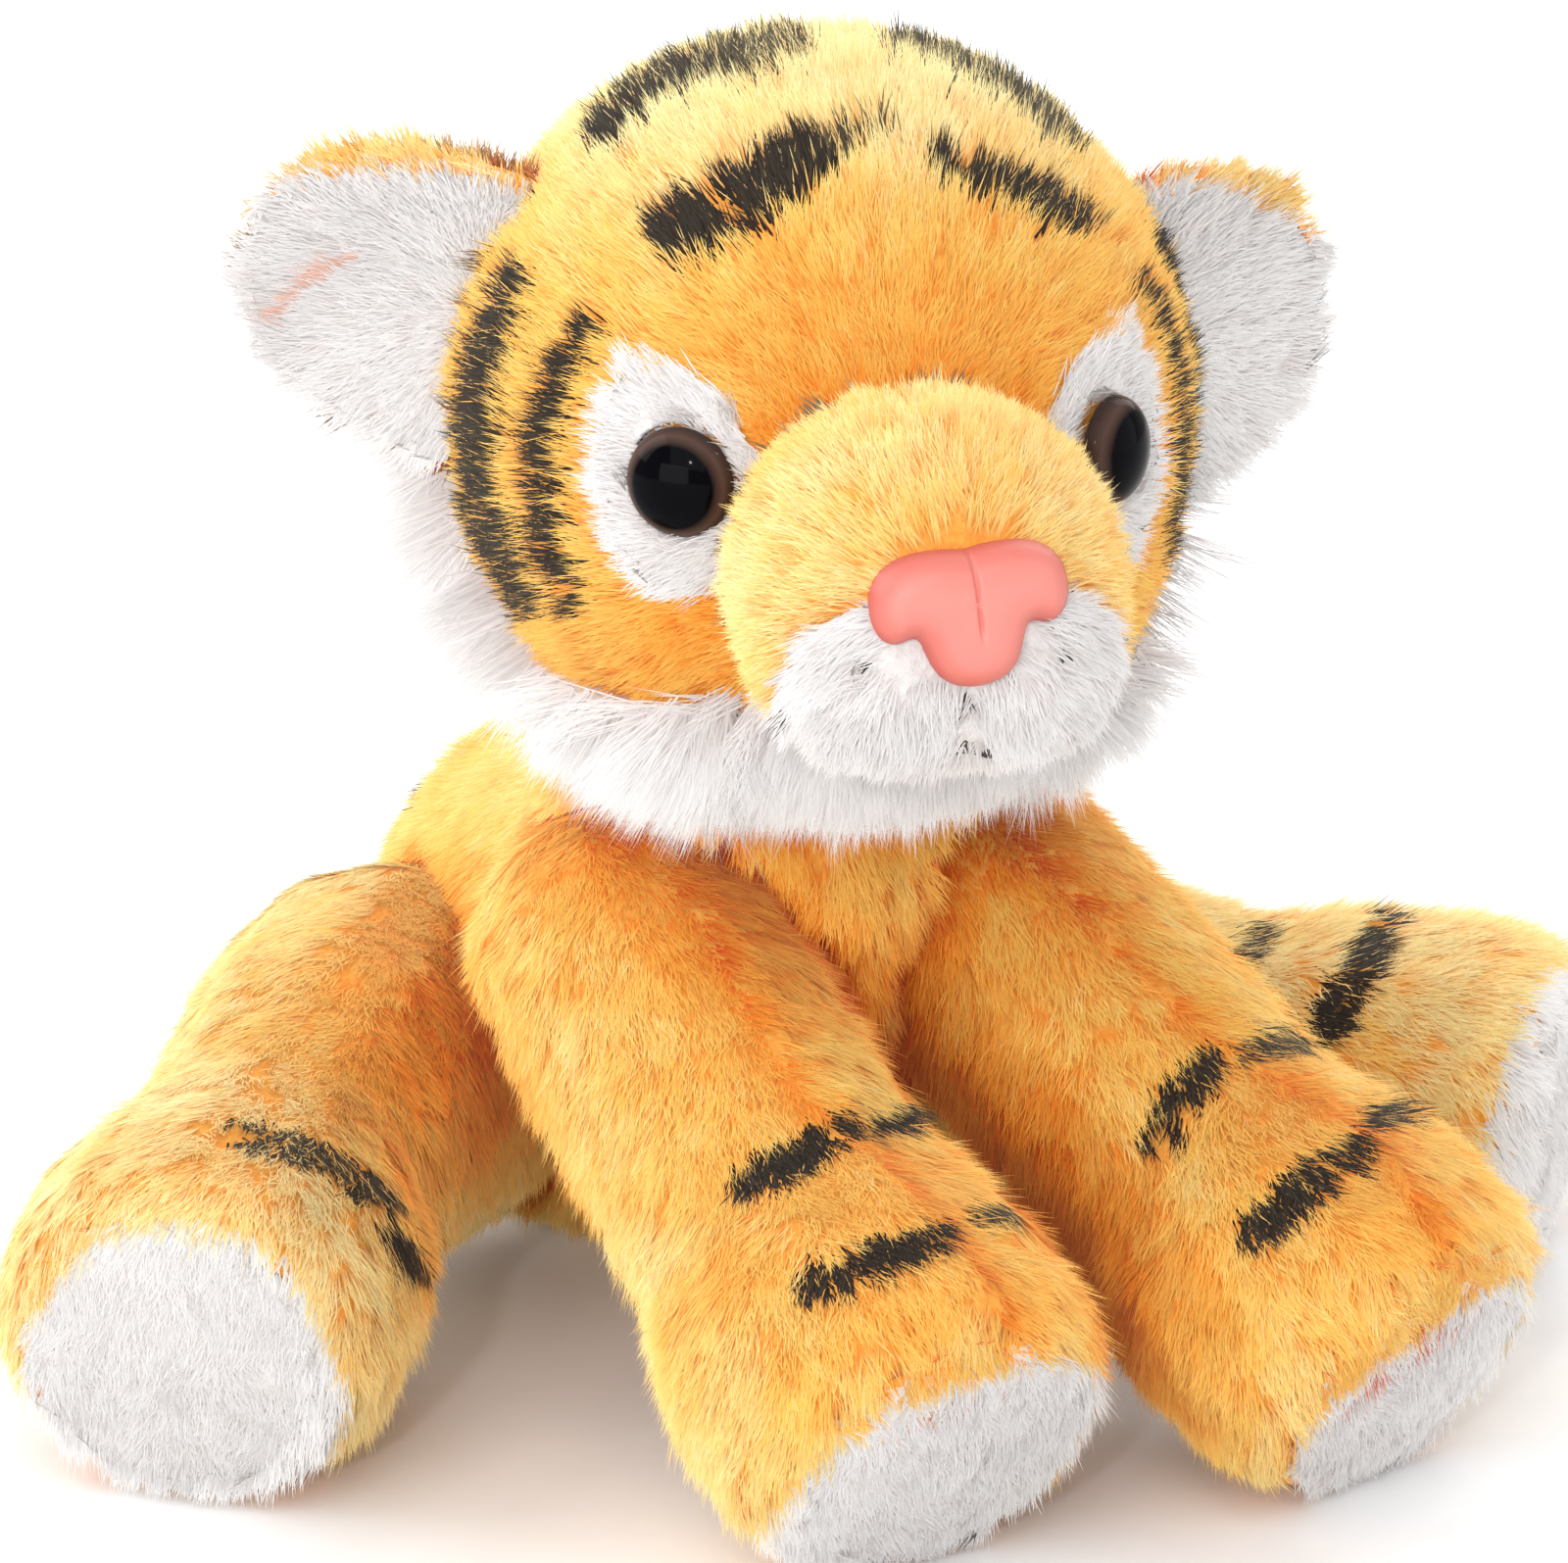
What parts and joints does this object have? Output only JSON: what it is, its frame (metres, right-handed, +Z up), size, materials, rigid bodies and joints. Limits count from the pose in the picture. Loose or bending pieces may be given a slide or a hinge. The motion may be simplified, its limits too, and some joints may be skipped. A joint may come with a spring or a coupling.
{
  "type": "plush tiger",
  "caption": "Soft plush tiger sitting with its forelegs stretched out in front, striped orange pile with white ruff, muzzle, ears and soles; the legs, head, ears and tail move.",
  "frame": {"origin": "on the floor, under the middle of the toy's own box", "axes": "+Z up, -Y the way the toy faces, -X towards its right side"},
  "size_m": [0.2072, 0.2292, 0.1605],
  "materials": {
    "orange_plush": "long soft pile, golden orange with printed dark stripes",
    "white_plush": "long soft white pile",
    "stuffing": "loose polyester fibre",
    "pellet_bags": "cloth bags of small plastic pellets",
    "eyes": "glossy, dark brown rim round a black pupil",
    "washers": "plain moulded plastic",
    "nose": "satin pink plastic",
    "thread": "dark sewing thread"
  },
  "bodies": {
    "trunk": {"body_side_right": "orange_plush", "body_side_left": "orange_plush", "belly_panel": "orange_plush", "body_stuffing": "stuffing", "seat_pellet_bag": "pellet_bags"},
    "neck": {"neck_stuffing": "stuffing"},
    "head": {"head_cover": "orange_plush", "head_stuffing": "stuffing", "ruff_right": "white_plush", "ruff_left": "white_plush", "chin_bib": "white_plush", "muzzle_cover": "orange_plush", "muzzle_stuffing": "stuffing", "whisker_pads": "white_plush", "nose": "nose", "nose_washer": "washers", "mouth_thread": "thread", "eye_right": "eyes", "eye_left": "eyes", "eye_patch_right": "white_plush", "eye_patch_left": "white_plush", "eye_washer_right": "washers", "eye_washer_left": "washers"},
    "ear_right": {"ear_front_right": "white_plush", "ear_back_right": "orange_plush"},
    "ear_left": {"ear_front_left": "white_plush", "ear_back_left": "orange_plush"},
    "tail": {"tail_root_cover": "orange_plush", "tail_tip_cover": "orange_plush", "tail_stuffing": "stuffing"},
    "front_leg_right": {"front_leg_right_cover": "orange_plush", "front_leg_right_sole": "white_plush", "front_leg_right_stuffing": "stuffing", "front_leg_right_pellet_bag": "pellet_bags"},
    "front_leg_left": {"front_leg_left_cover": "orange_plush", "front_leg_left_sole": "white_plush", "front_leg_left_stuffing": "stuffing", "front_leg_left_pellet_bag": "pellet_bags"},
    "hind_leg_right": {"hind_leg_right_cover": "orange_plush", "hind_leg_right_sole": "white_plush", "hind_leg_right_stuffing": "stuffing", "hind_leg_right_pellet_bag": "pellet_bags"},
    "hind_leg_left": {"hind_leg_left_cover": "orange_plush", "hind_leg_left_sole": "white_plush", "hind_leg_left_stuffing": "stuffing", "hind_leg_left_pellet_bag": "pellet_bags"}
  },
  "joints": [
    {"name": "neck_turn", "type": "hinge", "parent": "trunk", "child": "neck", "pos_m": [-0.00671, -0.03947, 0.08353], "axis": [0, 0, 1], "range_deg": [-12, 12], "stiffness_Nm_per_rad": 0.06},
    {"name": "neck_nod", "type": "hinge", "parent": "neck", "child": "head", "pos_m": [-0.00671, -0.03947, 0.08353], "axis": [0.9863, -0.165, 0], "range_deg": [-5, 5], "stiffness_Nm_per_rad": 0.3},
    {"name": "tail_swing", "type": "hinge", "parent": "trunk", "child": "tail", "pos_m": [-0.00671, 0.04333, 0.01493], "axis": [0, 0, 1], "range_deg": [-16, 16], "stiffness_Nm_per_rad": 0.02},
    {"name": "ear_fold_right", "type": "hinge", "parent": "head", "child": "ear_right", "pos_m": [-0.04028, -0.03213, 0.13045], "axis": [0.2635, -0.1127, 0.958], "range_deg": [-10, 10], "stiffness_Nm_per_rad": 0.01},
    {"name": "ear_fold_left", "type": "hinge", "parent": "head", "child": "ear_left", "pos_m": [0.03121, -0.04434, 0.12286], "axis": [0.0727, 0.0341, -0.9968], "range_deg": [-10, 10], "stiffness_Nm_per_rad": 0.01},
    {"name": "front_leg_right_lift", "type": "hinge", "parent": "trunk", "child": "front_leg_right", "pos_m": [-0.02846, -0.04297, 0.05563], "axis": [-0.9877, -0.1564, 0], "range_deg": [-4, 20]},
    {"name": "front_leg_left_lift", "type": "hinge", "parent": "trunk", "child": "front_leg_left", "pos_m": [0.01504, -0.04297, 0.05563], "axis": [-0.9272, -0.3746, 0], "range_deg": [-4, 20]},
    {"name": "hind_leg_right_lift", "type": "hinge", "parent": "trunk", "child": "hind_leg_right", "pos_m": [-0.03761, 0.00673, 0.02911], "axis": [-0.749, 0.6626, 0], "range_deg": [-4, 10]},
    {"name": "hind_leg_left_lift", "type": "hinge", "parent": "trunk", "child": "hind_leg_left", "pos_m": [0.02419, 0.00673, 0.02911], "axis": [-0.6293, -0.7771, 0], "range_deg": [-4, 10]}
  ]
}
